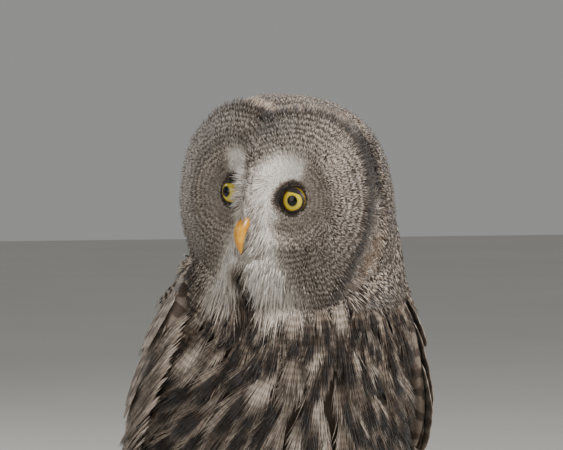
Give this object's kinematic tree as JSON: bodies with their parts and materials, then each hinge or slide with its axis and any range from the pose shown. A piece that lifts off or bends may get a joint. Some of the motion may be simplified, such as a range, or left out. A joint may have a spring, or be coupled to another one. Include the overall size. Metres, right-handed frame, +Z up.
{
  "type": "great grey owl",
  "caption": "Life-size still figure of a standing great grey owl with folded wings and the head turned over one shoulder.",
  "frame": {"origin": "on the floor, under the middle of the bird's bounding box", "axes": "+Z up through the crown, -Y the way the breast faces, +X to the bird's left"},
  "size_m": [0.2456, 0.4462, 0.517],
  "materials": {
    "head_plumage": "soft barred feathers",
    "body_plumage": "soft streaked feathers",
    "wing_plumage": "barred vanes",
    "tail_plumage": "barred vanes",
    "leg_plumage": "short barred feathers",
    "bill": "smooth horn",
    "eye": "wet gloss",
    "claw": "polished horn"
  },
  "bodies": {
    "root": {"head": "head_plumage", "eye_left": "eye", "eye_right": "eye", "bill_upper": "bill", "bill_lower": "bill", "neck": "body_plumage", "torso": "body_plumage", "tail": "tail_plumage", "wing_left": "wing_plumage", "thigh_left": "leg_plumage", "shank_left": "leg_plumage", "toe_left_inner": "leg_plumage", "claw_left_inner": "claw", "toe_left_middle": "leg_plumage", "claw_left_middle": "claw", "toe_left_outer": "leg_plumage", "claw_left_outer": "claw", "toe_left_hind": "leg_plumage", "claw_left_hind": "claw", "wing_right": "wing_plumage", "thigh_right": "leg_plumage", "shank_right": "leg_plumage", "toe_right_inner": "leg_plumage", "claw_right_inner": "claw", "toe_right_middle": "leg_plumage", "claw_right_middle": "claw", "toe_right_outer": "leg_plumage", "claw_right_outer": "claw", "toe_right_hind": "leg_plumage", "claw_right_hind": "claw"}
  },
  "joints": []
}
